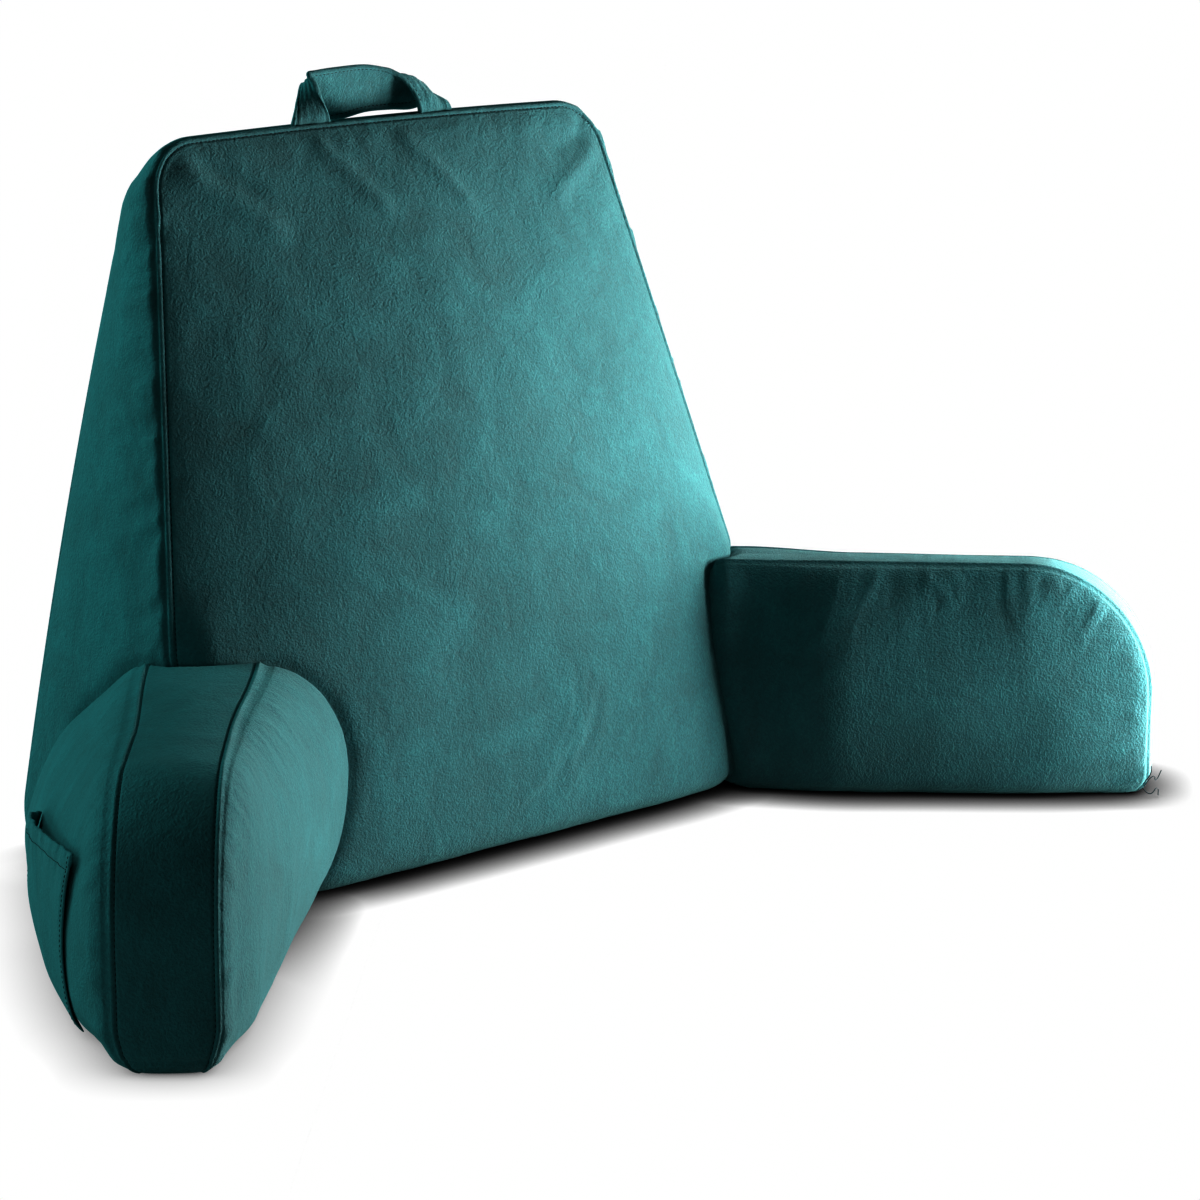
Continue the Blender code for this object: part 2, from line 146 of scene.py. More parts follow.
# Single folds on the back cushion: one end, the other end, width and height (a dent below 0).
BACK_FOLDS = (
    ((-0.236, 0.058, 0.556), (-0.246, 0.016, 0.545), 0.0055, 0.0032),
    ((-0.240, 0.056, 0.538), (-0.250, 0.014, 0.529), 0.0050, -0.0022),
    ((-0.252, 0.050, 0.508), (-0.255, 0.010, 0.512), 0.0050, 0.0024),
    ((-0.256, 0.050, 0.478), (-0.260, 0.004, 0.470), 0.0050, 0.0024),
    ((-0.270, 0.020, 0.392), (-0.276, -0.012, 0.386), 0.0050, 0.0020),
    ((-0.282, 0.050, 0.330), (-0.290, -0.022, 0.318), 0.0060, 0.0026),
    ((-0.305, 0.040, 0.205), (-0.318, -0.062, 0.190), 0.0070, 0.0028),
    ((-0.222, 0.024, 0.578), (-0.140, -0.012, 0.530), 0.0110, 0.0042),
    ((-0.205, 0.028, 0.588), (-0.150, 0.006, 0.562), 0.0060, -0.0028),
    ((-0.080, 0.020, 0.592), (-0.030, -0.012, 0.535), 0.0090, 0.0026),
    ((0.010, 0.020, 0.590), (0.060, -0.012, 0.530), 0.0090, 0.0024),
    ((0.228, 0.016, 0.566), (0.160, -0.010, 0.530), 0.0085, 0.0036),
    ((0.222, 0.020, 0.580), (0.172, 0.008, 0.568), 0.0060, -0.0028),
    ((0.244, -0.004, 0.520), (0.190, -0.024, 0.500), 0.0070, 0.0026),
)
# Patterns of the cover: wavelength along the seam, wavelength away from it, and height.
BACK_PUCKERS = (0.017, 0.06, 0.0016)
BACK_TOP_FAN = (0.03, 0.16, 0.0022)
BELLY_CREASES = (0.016, 0.13, 0.0026)
GUSSET_CREASES = (0.021, 0.07, 0.0044)
GUSSET_LINES = (0.03, 0.1, 0.0022)
GUSSET_SWELLS = (0.048, 0.12, 0.004)
ARM_FINE_GATHERS = (0.014, 0.05, 0.0018)
ARM_WIDE_GATHERS = (0.031, 0.1, 0.002)
ARM_LINES = (0.022, 0.07, 0.0021)
BAND_GATHERS = (0.012, 0.03, 0.0008)
# Uneven stuffing: wavelength and height of the large lumps, then of the small ones.
BACK_LUMPS = ((0.085, 0.0016), (0.03, 0.0005))
ARM_LUMPS = ((0.075, 0.0016), (0.028, 0.0005))
CROSS_SEAM_DEPTH = 0.0016
CROSS_SEAM_WIDTH = 0.0016
SWEEP_WAVELENGTH = 0.0105
SWEEP_HEIGHT = 0.001
SWEEP_HEIGHT_OUTER_LEFT = 0.0016
TIP_FOLDS_HEIGHT = 0.0062

# Seams between the arms and the back: how round each side is there, and the back's dent.
JUNCTION_RADIUS_ARM = 0.014
JUNCTION_RADIUS_BAND = 0.008
JUNCTION_RADIUS_BACK = 0.012
JUNCTION_DEPTH_BACK = 0.004


# ---- Numbers on arrays ----


def soft(share, power=0.75):
    """Height of a stuffed panel, 0 at its seam and 1 at its full crown; 0.5 is an ellipse."""
    share = np.clip(share, 0.0, 1.0)
    return (1.0 - (1.0 - share) ** 2) ** power


def smooth(share):
    """0 below 0, 1 above 1, and an even S between."""
    share = np.clip(share, 0.0, 1.0)
    return share * share * (3.0 - 2.0 * share)


def belly(height, top, fall):
    """How much of a panel's crown is left below its fullest height."""
    below = np.maximum(top - height, 0.0)
    return np.sqrt(np.maximum(1.0 - (below / fall) ** 2, 0.0))


def rounded_in(distance, radius):
    """How far a surface draws in as it nears a seam or the floor, where its edge is round."""
    distance = np.clip(distance, 0.0, radius)
    return radius - np.sqrt(np.maximum(radius**2 - (radius - distance) ** 2, 0.0))


def bell(distance, width):
    return np.exp(-((distance / width) ** 2))


def stitched_edge(distance):
    """Rise of the side of a topstitched seam that its folded edge lies under."""
    inside = np.clip(distance / SEAM_EDGE_WIDTH, 0.0, 1.0)
    edge = SEAM_EDGE_RISE * np.sin(math.pi * inside) ** 0.7
    ridge = SEAM_RIDGE_RISE * bell(distance, SEAM_RIDGE_WIDTH)
    groove = SEAM_GROOVE_DEPTH * bell(distance - SEAM_EDGE_WIDTH, SEAM_GROOVE_WIDTH)
    return edge + ridge - groove


def seam_slit(distance):
    """Depth of the seam's own slit, on the side that its folded edge lies over."""
    return SEAM_SLIT_DEPTH * bell(distance - SEAM_SLIT_AT, SEAM_SLIT_WIDTH)


def unit(ways):
    return ways / np.maximum(np.linalg.norm(ways, axis=-1, keepdims=True), 1e-12)


def perlin(points, seed):
    """Smooth noise from about -1 to 1 at each point."""
    shift = Vector((13.7 * seed, 7.1 * seed, 3.3 * seed))
    return np.array([noise.noise(Vector(point) + shift) for point in points])


def field(first, second, seed):
    """Smooth noise over two coordinates, both counted in wavelengths."""
    places = np.stack([first.ravel(), second.ravel(), np.full(first.size, 0.5)], 1)
    return perlin(places, seed).reshape(first.shape)


def puffs(first, second, seed, sharpness=0.8):
    """Round puffs, 0 to 1, with sharp valleys between them."""
    return np.abs(field(first, second, seed)) ** sharpness


def sharp_folds(first, second, seed, sharpness=9.0):
    """Thin raised lines, 0 to 1, where the noise passes through 0."""
    return (1.0 - np.clip(np.abs(field(first, second, seed)), 0.0, 1.0)) ** sharpness


def pattern(shape, along, away, sizes, seed, *sharpness):
    """One pattern of the cover, puffs or sharp_folds, with sizes as in the tables above."""
    wide, deep, height = sizes
    return shape(along / wide, away / deep, seed, *sharpness) * height


def lumps_at(points, sizes, seed):
    """Stuffing that lies unevenly under the cover."""
    (wide, high), (narrow, low) = sizes
    return perlin(points / wide, seed) * high + perlin(points / narrow, seed + 1) * low


def beside_seam(distance, rise, fade):
    """0 on a seam, near 1 after the rise, and fading away from the seam."""
    return smooth(distance / rise) * np.exp(-distance / fade)


def hem_profile(edge, width, thinning):
    """A sheet's thickness near its edge, as a share of the full thickness."""
    inward = np.clip(edge / width, 0.0, 1.0)
    return np.sqrt(1.0 - thinning * (1.0 - inward) ** 2)


def one_fold(points, start, end, width):
    """A fold between two places, 1 along its middle and fading at both ends."""
    start, way = np.array(start), np.array(end) - np.array(start)
    share = (points - start) @ way / way.dot(way)
    nearest_places = start + np.clip(share, 0.0, 1.0)[:, None] * way
    distance = np.linalg.norm(points - nearest_places, axis=1)
    return bell(distance, width) * smooth(share * 3.0 + 0.5) * smooth((1.0 - share) * 3.0 + 0.5)


def round_corner(along, up):
    """Moves points of a square corner, each side 0 to 1, into a quarter disc."""
    reach = np.hypot(along, up)
    both = (along > 0.0) & (up > 0.0)
    scale = np.where(both, np.maximum(along, up) / np.maximum(reach, 1e-9), 1.0)
    return along * scale, up * scale


# ---- Closed grids ----


def box_grid(counts):
    """Grid places on a box's six sides, its outward faces and each place's number."""
    across, deep, high = counts
    shell = np.ones((across + 1, deep + 1, high + 1), bool)
    shell[1:-1, 1:-1, 1:-1] = False
    places = np.argwhere(shell)
    index = np.full(shell.shape, -1)
    index[shell] = np.arange(len(places))

    def side(sheet):
        corners = (sheet[:-1, :-1], sheet[1:, :-1], sheet[1:, 1:], sheet[:-1, 1:])
        return np.stack(corners, -1).reshape(-1, 4)

    faces = [
        side(index[:, 0, :]),
        side(index[:, -1, :])[:, ::-1],
        side(index[0, :, :])[:, ::-1],
        side(index[-1, :, :]),
        side(index[:, :, 0])[:, ::-1],
        side(index[:, :, -1]),
    ]
    return places, np.concatenate(faces), index


def normals_of(points, faces):
    corners = points[faces]
    ways = np.cross(corners[:, 2] - corners[:, 0], corners[:, 3] - corners[:, 1])
    normals = np.zeros_like(points)
    for corner in range(4):
        np.add.at(normals, faces[:, corner], ways)
    return unit(normals)


def seam_distances(radius, spacing):
    """Distances in from a seam, close together over its edge and groove."""
    count = int((radius - NEAR_SEAM[-1]) / spacing)
    far = np.linspace(NEAR_SEAM[-1], radius, count + 1)[1:-1]
    return np.concatenate([NEAR_SEAM, far])


def nearest(values, wanted):
    return np.argmin(np.abs(values - wanted))


def steps(start, end, spacing):
    return np.linspace(start, end, round((end - start) / spacing) + 1)


def above_floor(low, low_top, height, spacing):
    """Grid lines up a panel, close together near the floor, as shares of its height."""
    return np.concatenate([low, steps(low_top, height, spacing)]) / height


def with_margins(middle, margins, both=False):
    """Grid lines as shares of a plain middle, with margins at its last end or at both."""
    first = margins[::-1] if both else margins[:0]
    shares = np.concatenate([-np.ones(len(first)), middle, np.ones(len(margins))])
    edges = np.concatenate([-first, np.zeros(len(middle)), margins])
    return shares, edges


def add_object(name, data):
    added = bpy.data.objects.new(name, data)
    bpy.context.scene.collection.objects.link(added)
    return added


def new_mesh(name, points, faces, material):
    mesh = bpy.data.meshes.new(name)
    mesh.from_pydata(points, [], faces)
    mesh.materials.append(material)
    mesh.validate()
    mesh.shade_smooth()
    return add_object(name, mesh)


def raised(points, faces, rise):
    """A form with its relief, kept above the floor."""
    final = points + normals_of(points, faces) * rise[:, None]
    final[:, 2] = np.maximum(final[:, 2], 0.0)
    return final


# ---- Back cushion ----


def back_half_width(height):
    share = height / BACK_FRONT_HEIGHT
    return BACK_FLOOR_HALF_WIDTH + (BACK_TOP_HALF_WIDTH - BACK_FLOOR_HALF_WIDTH) * share


def back_panel(share_x, margin_x, share_z, margin_z, top):
    """x, z, outward way and distances to the side and top seams, before the crown."""
    radius = BACK_CORNER_RADIUS
    side = np.where(share_x < 0.0, -1.0, 1.0)
    along, up = round_corner(np.abs(margin_x) / radius, margin_z / radius)
    z = share_z * (top - radius) + up * radius
    half = back_half_width(z)
    x = share_x * (half - radius) + side * along * radius
    z = z - BACK_TOP_ARCH * (x / BACK_TOP_HALF_WIDTH) ** 2 * share_z**4
    way = unit(np.stack([side * along, np.zeros(len(x)), up], 1))
    to_side = (1.0 - np.abs(share_x)) * (half - radius) + radius - np.abs(margin_x)
    to_top = (1.0 - share_z) * (top - radius) + radius - margin_z
    return x, z, way, to_side, to_top


def back_form():
    """The back cushion's smooth form: points, faces and where each point lies on it."""
    radius = BACK_CORNER_RADIUS
    margins = (radius - seam_distances(radius, BACK_SPACING))[::-1]
    middle = steps(-1.0, 1.0, BACK_SPACING / BACK_LEAST_HALF_WIDTH)
    shares_x, margins_x = with_margins(middle, margins, both=True)
    height = BACK_FRONT_HEIGHT - radius
    middle_z = above_floor(BACK_LOW_HEIGHTS, BACK_LOW_TOP, height, BACK_SPACING)
    shares_z, margins_z = with_margins(middle_z, margins)
    near = np.array(GUSSET_SHARES)
    between = steps(GUSSET_MIDDLE_FROM, 1.0 - GUSSET_MIDDLE_FROM, GUSSET_MIDDLE_SPACING)
    depths = np.concatenate([near, between, 1.0 - near[::-1]])
    counts = (len(shares_x) - 1, len(depths) - 1, len(shares_z) - 1)
    places, faces, index = box_grid(counts)
    across, deep, up = places.T
    share_x, margin_x = shares_x[across], margins_x[across]
    share_z, margin_z = shares_z[up], margins_z[up]
    depth = depths[deep]
    place = (share_x, margin_x, share_z, margin_z)
    x, z, way, to_side, to_top = back_panel(*place, BACK_FRONT_HEIGHT)
    x_rear, z_rear = back_panel(*place, BACK_REAR_HEIGHT)[:2]
    left_out = np.minimum(share_x, 0.0) * BACK_LEFT_SEAM_OUT * z / BACK_FRONT_HEIGHT
    front = np.stack([x + left_out, BACK_FRONT_FLOOR_Y + BACK_FRONT_LEAN * z, z], 1)
    x_rear = x_rear * (1.0 - BACK_REAR_NARROWING / BACK_TOP_HALF_WIDTH)
    rear = np.stack([x_rear, BACK_REAR_FLOOR_Y - BACK_REAR_HOLLOW * z_rear**2, z_rear], 1)
    gusset_width = np.linalg.norm(rear - front, axis=1)
    low_share = belly(z, BACK_BELLY_HEIGHT, BACK_BELLY_FALL)
    front_run, rear_run = BACK_FRONT_CROWN_RUN, BACK_REAR_CROWN_RUN
    fuller = BACK_LOW_SIDES_FULLER * smooth((0.27 - z) / 0.12) * smooth(to_side / 0.03)
    front_full = soft((to_side + fuller) / front_run) * soft(to_top / front_run) * low_share
    rear_full = soft(to_side / rear_run) * soft(to_top / rear_run) * low_share
    lean = BACK_FRONT_LEAN * np.minimum(z / BACK_BELLY_HEIGHT, 1.0)
    front_way = unit(np.stack([np.zeros(len(x)), -np.ones(len(x)), lean], 1))
    front = front + front_way * (BACK_FRONT_CROWN * front_full)[:, None]
    rear[:, 1] += BACK_REAR_CROWN * rear_full
    points = front * (1.0 - depth)[:, None] + rear * depth[:, None]
    bulge = (4.0 * depth * (1.0 - depth)) ** 0.75
    on_gusset = np.maximum(np.abs(margin_x), margin_z) / radius > ON_SEAM
    crown = BACK_TOP_GUSSET_CROWN + (BACK_GUSSET_CROWN - BACK_TOP_GUSSET_CROWN) * way[:, 0] ** 2
    points += way * (on_gusset * crown * bulge)[:, None]
    on_base = (up == 0) & ~on_gusset
    points[:, 0] += on_base * BACK_GUSSET_CROWN * bulge * x / back_half_width(0.0)
    half_depth = (BACK_REAR_FLOOR_Y - BACK_FRONT_FLOOR_Y) / 2.0
    centre = (BACK_REAR_FLOOR_Y + BACK_FRONT_FLOOR_Y) / 2.0
    under = BACK_FRONT_ROLL_UNDER * (1.0 - depth) + BACK_REAR_ROLL_UNDER * depth
    height_now = np.maximum(points[:, 2], 0.0)
    drawn = 1.0 - rounded_in(height_now, under) / half_depth
    points[:, 1] = centre + (points[:, 1] - centre) * drawn
    points[:, 0] *= 1.0 - rounded_in(height_now, BACK_SIDE_ROLL_UNDER) / BACK_FLOOR_HALF_WIDTH
    spots = {
        "to_side": to_side,
        "to_top": to_top,
        "to_seam": np.minimum(to_side, to_top),
        "on_front": deep == 0,
        "on_rear": deep == counts[1],
        "on_gusset": on_gusset,
        "from_front_seam": depth * gusset_width,
        "from_rear_seam": (1.0 - depth) * gusset_width,
        "index": index,
        "groove_x": nearest(margins_x, BACK_CORNER_RADIUS - SEAM_EDGE_WIDTH),
        "groove_z": nearest(margins_z, BACK_CORNER_RADIUS - SEAM_EDGE_WIDTH),
    }
    return points, faces, spots


def back_relief(points, spots):
    """How far each point of the back cushion stands off its smooth form."""
    x, z = points[:, 0], points[:, 2]
    to_side, to_top, to_seam = spots["to_side"], spots["to_top"], spots["to_seam"]
    front_seam = spots["from_front_seam"]
    from_seam = np.minimum(front_seam, spots["from_rear_seam"])
    panel = (spots["on_front"] | spots["on_rear"]).astype(float)
    gusset = spots["on_gusset"] & ~(spots["on_front"] | spots["on_rear"])
    rise = panel * stitched_edge(to_seam) * np.where(to_top < to_side, TOP_SEAM_SHARE, 1.0)
    rise -= gusset * seam_slit(from_seam)
    lumps = lumps_at(points, BACK_LUMPS, 1)
    rise += lumps * smooth(to_seam / 0.04) * panel
    rise += lumps * smooth(from_seam / 0.03) * gusset

    # Short puckers that the stitches gather, across the seams.
    along = np.where(to_side < to_top, z, x)
    puckers = pattern(puffs, along, to_seam, BACK_PUCKERS, 3)
    rise += panel * puckers * smooth((to_seam - 0.0085) / 0.006) * np.exp(-to_seam / 0.022)
    # Longer folds that fan from the top seam.
    fan = pattern(puffs, x + 0.45 * to_top, to_top, BACK_TOP_FAN, 4, 1.0)
    fan_share = smooth((to_top - 0.008) / 0.01) * np.exp(-to_top / 0.04)
    rise += spots["on_front"] * fan * fan_share
    # Curved creases low on the belly, towards the right arm.
    from_middle = np.hypot((x - BELLY_CREASES_X) * 0.83, z - BELLY_CREASES_Z)
    below = smooth((BELLY_CREASES_Z + 0.01 - z) / 0.05)
    right = smooth((x - BELLY_CREASES_X) / 0.05)
    here = spots["on_front"] * below * right * bell(from_middle - BELLY_CREASES_REACH, 0.03)
    arcs = pattern(sharp_folds, from_middle, x + z, BELLY_CREASES, 7, 5.0)
    rise += here * arcs * smooth(z / 0.012)
    # Creases across the gusset from its front seam.
    along = z + 0.25 * front_seam
    creases = pattern(puffs, along, front_seam, GUSSET_CREASES, 5)
    creases += pattern(sharp_folds, along, front_seam, GUSSET_LINES, 8)
    creases += pattern(puffs, along, front_seam, GUSSET_SWELLS, 6)
    rise += gusset * creases * beside_seam(front_seam, 0.006, 0.038)
    for start, end, width, height in BACK_FOLDS:
        rise += height * one_fold(points, start, end, width)
    return rise


# ---- Arms ----


def outer_crown(s, z, top, to_seam, length, start):
    """How far an arm's outer panel stands out from its seams."""
    full = soft(to_seam / ARM_CROWN_RUN, 0.5)
    low_share = belly(z, ARM_BELLY_HEIGHT, ARM_BELLY_FALL)
    flare = ARM_OUTER_FLARE * (length - s) * (1.0 - np.clip(z / top, 0.0, 1.0) ** 1.7)
    midway = np.sin(math.pi * (s - start) / (length - start))
    slimmer = ARM_OUTER_TIP_SLIMMER * smooth((s - 0.2) / 0.15)
    slimmer = slimmer + ARM_OUTER_ROOT_TUCK * smooth((-0.078 - s) / 0.045)
    crown = (ARM_OUTER_CROWN + ARM_OUTER_CROWN_MIDWAY * midway) * low_share
    return full * (flare - slimmer + crown)


def arm_form(side):
    """An arm's smooth form in its own way: along, across (outwards) and up."""
    radius = ARM_END_RADIUS
    length = ARM_LENGTH + (ARM_LEFT_LONGER if side < 0 else 0.0)
    margins = (radius - seam_distances(radius, ARM_SPACING))[::-1]
    run = length - radius + ARM_OUTER_DEPTH_IN_BACK
    shares_s, margins_s = with_margins(steps(0.0, 1.0, ARM_SPACING / run), margins)
    height = ARM_ROOT_HEIGHT - radius
    middle_z = above_floor(ARM_LOW_HEIGHTS, ARM_LOW_TOP, height, ARM_SPACING)
    shares_z, margins_z = with_margins(middle_z, margins)
    edge = BAND_HALF_WIDTH - seam_distances(BAND_HALF_WIDTH - BAND_MIDDLE_HALF, 0.004)
    middle = steps(-BAND_MIDDLE_HALF, BAND_MIDDLE_HALF, BAND_SPACING)
    offsets = np.unique(np.concatenate([-edge, middle, edge]))
    counts = (len(shares_s) - 1, len(offsets) - 1, len(shares_z) - 1)
    places, faces, index = box_grid(counts)
    lengthwise, across_at, up_at = places.T
    share_s, margin_s = shares_s[lengthwise], margins_s[lengthwise]
    share_z, margin_z = shares_z[up_at], margins_z[up_at]
    offset = offsets[across_at]
    outer = offset > 0.0
    width = np.abs(offset) / BAND_HALF_WIDTH
    depth_in_back = np.where(outer, ARM_OUTER_DEPTH_IN_BACK, ARM_INNER_DEPTH_IN_BACK)
    start = -(ARM_INNER_DEPTH_IN_BACK * (1.0 - width) + depth_in_back * width)
    along, up = round_corner(margin_s / radius, margin_z / radius)
    s = start + share_s * (length - radius - start) + along * radius
    top = ARM_ROOT_HEIGHT + ARM_RISE * np.clip(s, 0.0, length - radius)
    z = share_z * (top - radius) + up * radius
    to_seam = radius - np.maximum(margin_s, margin_z)
    low_share = belly(z, ARM_BELLY_HEIGHT, ARM_BELLY_FALL)
    crown_out = outer_crown(s, z, top, to_seam, length, start)
    crown_in = ARM_INNER_CROWN_AT_ROOT - ARM_INNER_CROWN_TAPER * s
    if side > 0:
        pulled = ARM_RIGHT_PULLED_IN * (0.42 + 0.58 * np.clip(z / top, 0.0, 1.0))
        crown_in = crown_in - pulled * smooth(1.0 - s / ARM_RIGHT_PULLED_TO)
    crown_in = crown_in * soft(to_seam / ARM_CROWN_RUN, 0.62) * low_share
    crown = np.where(outer, crown_out, crown_in)
    at_root, inner_lift, outer_drop = BAND_SHAPES[side]
    wider = at_root * smooth(1.0 - s / BAND_WIDE_TO) * (1.0 - soft(to_seam / ARM_CROWN_RUN, 0.5))
    near_tip = smooth((s - length + 0.1) / 0.08)
    narrower = BAND_NARROWER_AT_FOOT * smooth(1.0 - z / BAND_FOOT_HEIGHT) * near_tip
    across = offset * (1.0 + (crown + wider) / BAND_HALF_WIDTH) * (1.0 - narrower)
    on_band = np.maximum(margin_s, margin_z) / radius > ON_SEAM
    reach = np.maximum(np.hypot(along, up), 1e-9)
    rise = on_band * BAND_CROWN * (1.0 - width**2)
    s = s + rise * along / reach
    z = z + rise * up / reach
    tilt = np.where(outer, -outer_drop * smooth(s / BAND_DROPS_FROM), inner_lift) * width
    z = z + tilt * np.clip(z / top, 0.0, 1.0) ** 3
    height_now = np.maximum(z, 0.0)
    under = np.where(outer, ARM_OUTER_ROLL_UNDER, ARM_ROLL_UNDER)
    draw = width * rounded_in(height_now, under)
    across = across * (1.0 - draw / (BAND_HALF_WIDTH + crown))
    draw = rounded_in(height_now, ARM_TIP_ROLL_UNDER)
    s = s - draw * np.clip(s / length, 0.0, 1.0)
    turn = np.arctan2(margin_s, np.maximum(margin_z, 1e-9))
    around = share_s * (length - radius)
    around = around + radius * turn + (margin_s > 0.0) * (1.0 - share_z) * (top - radius)
    local = np.stack([s, across, z], 1)
    groove = BAND_HALF_WIDTH - SEAM_EDGE_WIDTH
    spots = {
        "to_seam": to_seam,
        "around": around,
        "on_band": on_band,
        "on_side": (across_at == 0) | (across_at == counts[1]),
        "outer": outer,
        "to_band_edge": BAND_HALF_WIDTH - np.abs(offset),
        "index": index,
        "grooves": [nearest(offsets, way * groove) for way in (-1, 1)],
        "length": length,
    }
    if side < 0:
        faces = faces[:, ::-1]
    return local, faces, spots


def arm_world(side, local):
    """From the arm's own way to the world."""
    sine, cosine = math.sin(ARM_SPLAY), math.cos(ARM_SPLAY)
    x = ARM_ROOT_X + local[:, 0] * sine + local[:, 1] * cosine
    y = ARM_ROOT_Y - local[:, 0] * cosine + local[:, 1] * sine
    return np.stack([side * x, y, local[:, 2]], 1)


def arm_relief(side, points, local, spots):
    """How far each point of an arm stands off its smooth form."""
    seed = 20 if side < 0 else 40
    s, z = local[:, 0], local[:, 2]
    panel = (spots["on_side"] & ~spots["on_band"]).astype(float)
    seam = (spots["on_side"] & spots["on_band"]).astype(float)
    band = (spots["on_band"] & ~spots["on_side"]).astype(float)
    to_seam, to_edge, around = spots["to_seam"], spots["to_band_edge"], spots["around"]
    rise = band * stitched_edge(to_edge) - (panel + seam) * seam_slit(to_seam)
    lumps = lumps_at(points, ARM_LUMPS, seed)
    rise += lumps * smooth(to_seam / 0.03) * panel + 0.5 * lumps * band

    # The seam that closes the band at its foot.
    to_tip = spots["length"] - s
    end = smooth((0.05 - to_tip) / 0.02) * np.clip(band + seam, 0.0, 1.0)
    rise -= end * CROSS_SEAM_DEPTH * bell(z - BAND_CROSS_SEAM_HEIGHT, CROSS_SEAM_WIDTH)

    # Puckers across the seams, on the panels and, shorter, on the band.
    gathers = pattern(puffs, around, to_seam, ARM_FINE_GATHERS, seed + 2)
    gathers += pattern(puffs, around, to_seam, ARM_WIDE_GATHERS, seed + 3)
    gathers += pattern(sharp_folds, around, to_seam, ARM_LINES, seed + 7)
    rise += panel * gathers * beside_seam(to_seam, 0.014, 0.026)
    wide, deep, height = BAND_GATHERS
    band_gathers = puffs(around / wide, to_edge / deep + 9.0, seed + 4) * height
    rise += band * band_gathers * smooth((to_edge - 0.008) / 0.004) * np.exp(-to_edge / 0.012)

    # Long fine wrinkles that sweep from the seams towards the back cushion.
    sweep = around + 0.62 * to_seam + 1.6 * to_seam**2
    wrinkles = puffs(sweep / SWEEP_WAVELENGTH, to_seam / 0.11, seed + 5, 1.0)
    on_outer_left = spots["outer"] & (side < 0)
    strength = np.where(on_outer_left, SWEEP_HEIGHT_OUTER_LEFT, SWEEP_HEIGHT)
    near_root = smooth((0.24 - around) / 0.2)
    rise += panel * wrinkles * strength * beside_seam(to_seam, 0.01, 0.06) * near_root
    # Folds gathered where the end of the arm meets the floor.
    folds = puffs(z / 0.018 + to_tip / 0.09, s / 0.12, seed + 6) * TIP_FOLDS_HEIGHT
    low = np.exp(-z / 0.045) * smooth(z / 0.004)
    near_tip = np.exp(-np.maximum(to_tip, 0.0) / 0.038)
    rise += panel * folds * low * near_tip * smooth(to_seam / 0.005)
    return rise


# ---- Where the arms are sewn to the back ----


def tree_of(points, faces):
    return BVHTree.FromPolygons(points.tolist(), faces.tolist())


def is_inside(tree, point):
    """Whether a ray from the point leaves the closed surface an odd number of times."""
    way = Vector((0.31, 0.52, 0.8)).normalized()
    crossings = 0
    place = tree.ray_cast(point, way)[0]
    while place is not None:
        crossings += 1
        place = tree.ray_cast(place + way * 1e-5, way)[0]
    return crossings % 2 == 1


# How far a surface is looked for, and the depth below which a ray tests a point's side again.
SURFACE_REACH = 0.05
SIDE_TESTED_BELOW = 0.003


def off_surface(tree, points):
    """Distance of each point from a closed surface, below 0 inside it."""
    found = np.empty(len(points))
    for number, point in enumerate(points):
        point = Vector(point)
        place, normal, _, distance = tree.find_nearest(point, SURFACE_REACH)
        if place is None:
            found[number] = SURFACE_REACH
            continue
        inside = (point - place).dot(normal) < 0.0
        if inside and distance > SIDE_TESTED_BELOW:
            inside = is_inside(tree, point)
        found[number] = -distance if inside else distance
    return found


# ---- Velvet ----


def link(tree, source, output, target, socket):
    tree.links.new(source.outputs[output], target.inputs[socket])


def add_node(tree, kind, values):
    """A new node with values set on some of its inputs."""
    node = tree.nodes.new(kind)
    set_inputs(node, values)
    return node


def set_inputs(node, values):
    for name, value in values.items():
        node.inputs[name].default_value = value


def new_material(name):
    """A material, its node tree and its shader."""
    material = bpy.data.materials.new(name)
    material.use_nodes = True
    tree = material.node_tree
    return material, tree, tree.nodes["Principled BSDF"]


def noise_node(tree, coordinates, scale, detail, roughness, distortion=0.0):
    sizes = {"Scale": scale, "Detail": detail, "Roughness": roughness, "Distortion": distortion}
    node = add_node(tree, "ShaderNodeTexNoise", sizes)
    tree.links.new(coordinates, node.inputs["Vector"])
    return node.outputs["Fac"]


def colours_of(tree, factor, stops):
    """A colour for a number, smoothly between stops, each a place and its colour."""
    node = tree.nodes.new("ShaderNodeValToRGB")
    elements = node.color_ramp.elements
    elements[0].position, elements[0].color = stops[0]
    elements[1].position, elements[1].color = stops[-1]
    for position, colour in stops[1:-1]:
        elements.new(position).color = colour
    tree.links.new(factor, node.inputs["Fac"])
    return node


def mixed(tree, first, second, share):
    """A number between two others; share is how much of the second."""
    node = tree.nodes.new("ShaderNodeMix")
    node.data_type = "FLOAT"
    node.inputs[0].default_value = share
    tree.links.new(first, node.inputs[2])
    tree.links.new(second, node.inputs[3])
    return node.outputs[0]


VELVET_COLOURS = (
    (0.37, (0.0020, 0.052, 0.063, 1.0)),
    (0.50, (0.0070, 0.115, 0.132, 1.0)),
    (0.69, (0.0260, 0.240, 0.260, 1.0)),
)
THREAD_COLOURS = ((0.0, (0.001, 0.022, 0.026, 1.0)), (1.0, (0.004, 0.06, 0.066, 1.0)))
VELVET_SHEEN = {
    "Sheen Weight": 0.46,
    "Sheen Roughness": 1.0,
    "Sheen Tint": (0.41, 1.0, 0.98, 1.0),
    "Specular IOR Level": 0.12,
}
